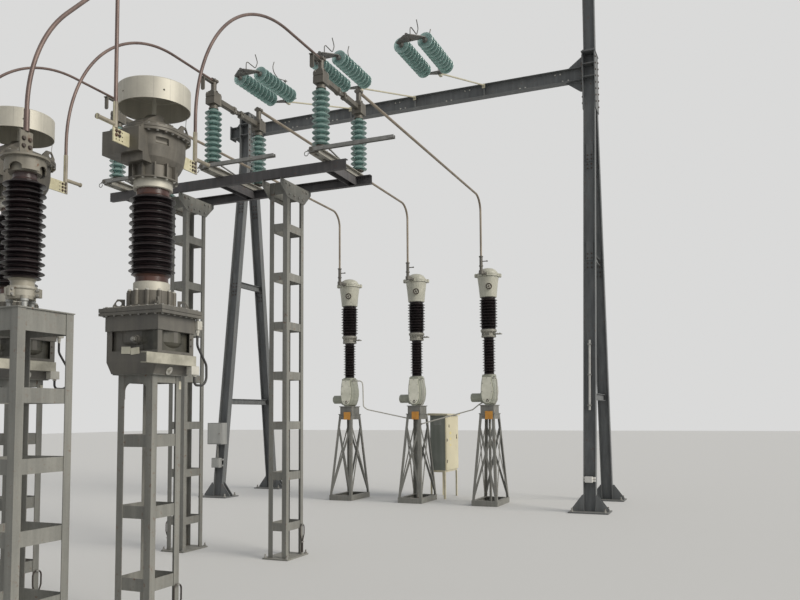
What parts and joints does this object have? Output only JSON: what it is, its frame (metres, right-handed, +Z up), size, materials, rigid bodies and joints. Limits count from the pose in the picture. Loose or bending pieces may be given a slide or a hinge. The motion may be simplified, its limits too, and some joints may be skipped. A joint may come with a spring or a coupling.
{
  "type": "substation switchgear bay",
  "caption": "High voltage outdoor bay with surge arresters, current transformers, rotary disconnector with earthing blades, breakers and a line gantry.",
  "frame": {"origin": "on the ground, at the centre of the outer anchor bolts of the disconnector platform, under its middle pole", "axes": "+X across the bay along the three phases, +Y along the line from the surge arresters to the breakers, +Z up"},
  "size_m": [8.54, 12.7739, 10.325],
  "materials": {
    "painted_steel": "weathered grey-blue paint over galvanised angle steel",
    "galvanised_steel": "dull zinc coating",
    "bronze_casting": "dull reddish casting",
    "brown_porcelain": "glossy brown glaze over porcelain",
    "cast_grey": "satin grey paint on castings",
    "copper_tube": "oxidised copper",
    "tank_paint": "satin grey enamel with dust",
    "satin_aluminium": "satin",
    "cream_casting": "cream oxide, dull",
    "cream_paint": "satin cream paint",
    "grey_paint": "satin light grey paint",
    "green_glass": "clear teal green toughened glass",
    "blade_metal": "dull drawn metal"
  },
  "bodies": {
    "bay": {"arrester_pedestals": "painted_steel", "arrester_feet": "galvanised_steel", "arrester_clamps": "bronze_casting", "arrester_insulators": "brown_porcelain", "arrester_caps": "cast_grey", "arrester_leads": "copper_tube", "transformer_pedestals": "painted_steel", "transformer_tanks": "tank_paint", "transformer_bases": "cast_grey", "transformer_insulators": "brown_porcelain", "transformer_rings": "satin_aluminium", "transformer_heads": "cast_grey", "expansion_covers": "satin_aluminium", "transformer_terminals": "cream_casting", "risers": "copper_tube", "bay_leads": "copper_tube", "platform_posts": "painted_steel", "platform_gussets": "painted_steel", "platform_beams": "painted_steel", "pole_bases": "galvanised_steel", "terminal_heads": "cast_grey", "earthing_brackets": "galvanised_steel", "breaker_pedestals": "painted_steel", "breaker_mechanisms": "cream_paint", "breaker_insulators": "brown_porcelain", "breaker_flanges": "satin_aluminium", "breaker_heads": "cream_paint", "breaker_terminals": "cream_casting", "breaker_leads": "copper_tube", "control_cabinet": "grey_paint", "gantry_left_support": "painted_steel", "gantry_right_support": "painted_steel", "gantry_beam": "painted_steel", "gantry_peak": "painted_steel", "gantry_boxes": "grey_paint", "string_rods": "cream_casting", "string_glass": "green_glass", "string_fittings": "galvanised_steel"},
    "column_1_line": {"column_1_line_glass": "green_glass", "column_1_line_arm": "cast_grey"},
    "column_1_breaker": {"column_1_breaker_glass": "green_glass", "column_1_breaker_arm": "cast_grey"},
    "column_2_line": {"column_2_line_glass": "green_glass", "column_2_line_arm": "cast_grey"},
    "column_2_breaker": {"column_2_breaker_glass": "green_glass", "column_2_breaker_arm": "cast_grey"},
    "column_3_line": {"column_3_line_glass": "green_glass", "column_3_line_arm": "cast_grey"},
    "column_3_breaker": {"column_3_breaker_glass": "green_glass", "column_3_breaker_arm": "cast_grey"},
    "sync_rod_1": {"sync_rod_1": "blade_metal"},
    "sync_rod_2": {"sync_rod_2": "blade_metal"},
    "sync_rod_3": {"sync_rod_3": "blade_metal"},
    "earth_blade_1": {"earth_blade_1": "blade_metal"},
    "earth_blade_2": {"earth_blade_2": "blade_metal"},
    "earth_blade_3": {"earth_blade_3": "blade_metal"},
    "cabinet_door": {"cabinet_door": "cream_paint"}
  },
  "joints": [
    {"name": "column_1_line_turn", "type": "hinge", "parent": "bay", "child": "column_1_line", "pos_m": [1.5, -0.5, 4.743], "axis": [0, 0, -1], "range_deg": [0, 90]},
    {"name": "column_1_breaker_turn", "type": "hinge", "parent": "bay", "child": "column_1_breaker", "pos_m": [1.5, 0.5, 4.743], "axis": [0, 0, 1], "range_deg": [0, 90]},
    {"name": "column_2_line_turn", "type": "hinge", "parent": "bay", "child": "column_2_line", "pos_m": [0, -0.5, 4.743], "axis": [0, 0, -1], "range_deg": [0, 90]},
    {"name": "column_2_breaker_turn", "type": "hinge", "parent": "bay", "child": "column_2_breaker", "pos_m": [0, 0.5, 4.743], "axis": [0, 0, 1], "range_deg": [0, 90]},
    {"name": "column_3_line_turn", "type": "hinge", "parent": "bay", "child": "column_3_line", "pos_m": [-1.5, -0.5, 4.743], "axis": [0, 0, -1], "range_deg": [0, 90]},
    {"name": "column_3_breaker_turn", "type": "hinge", "parent": "bay", "child": "column_3_breaker", "pos_m": [-1.5, 0.5, 4.743], "axis": [0, 0, 1], "range_deg": [0, 90]},
    {"name": "sync_rod_1_swing", "type": "hinge", "parent": "column_1_line", "child": "sync_rod_1", "pos_m": [1.57778, -0.42222, 4.763], "axis": [0, 0, 1], "range_deg": [0, 90]},
    {"name": "sync_rod_2_swing", "type": "hinge", "parent": "column_2_line", "child": "sync_rod_2", "pos_m": [0.07778, -0.42222, 4.763], "axis": [0, 0, 1], "range_deg": [0, 90]},
    {"name": "sync_rod_3_swing", "type": "hinge", "parent": "column_3_line", "child": "sync_rod_3", "pos_m": [-1.42222, -0.42222, 4.763], "axis": [0, 0, 1], "range_deg": [0, 90]},
    {"name": "earth_blade_1_swing", "type": "hinge", "parent": "bay", "child": "earth_blade_1", "pos_m": [1.5, -0.715, 4.69], "axis": [0, -1, 0], "range_deg": [0, 90]},
    {"name": "earth_blade_2_swing", "type": "hinge", "parent": "bay", "child": "earth_blade_2", "pos_m": [0, -0.715, 4.69], "axis": [0, -1, 0], "range_deg": [0, 90]},
    {"name": "earth_blade_3_swing", "type": "hinge", "parent": "bay", "child": "earth_blade_3", "pos_m": [-1.5, -0.715, 4.69], "axis": [0, -1, 0], "range_deg": [0, 90]},
    {"name": "cabinet_door_swing", "type": "hinge", "parent": "bay", "child": "cabinet_door", "pos_m": [0.4183, 6.748, 1.2], "axis": [0, 0, -1], "range_deg": [0, 110]}
  ],
  "couplings": [
    {"joint": "column_1_breaker_turn", "follows": "column_1_line_turn", "ratio": 1},
    {"joint": "column_2_line_turn", "follows": "column_1_line_turn", "ratio": 1},
    {"joint": "column_2_breaker_turn", "follows": "column_1_line_turn", "ratio": 1},
    {"joint": "column_3_line_turn", "follows": "column_1_line_turn", "ratio": 1},
    {"joint": "column_3_breaker_turn", "follows": "column_1_line_turn", "ratio": 1},
    {"joint": "sync_rod_1_swing", "follows": "column_1_line_turn", "ratio": 1},
    {"joint": "sync_rod_2_swing", "follows": "column_1_line_turn", "ratio": 1},
    {"joint": "sync_rod_3_swing", "follows": "column_1_line_turn", "ratio": 1},
    {"joint": "earth_blade_2_swing", "follows": "earth_blade_1_swing", "ratio": 1},
    {"joint": "earth_blade_3_swing", "follows": "earth_blade_1_swing", "ratio": 1}
  ]
}
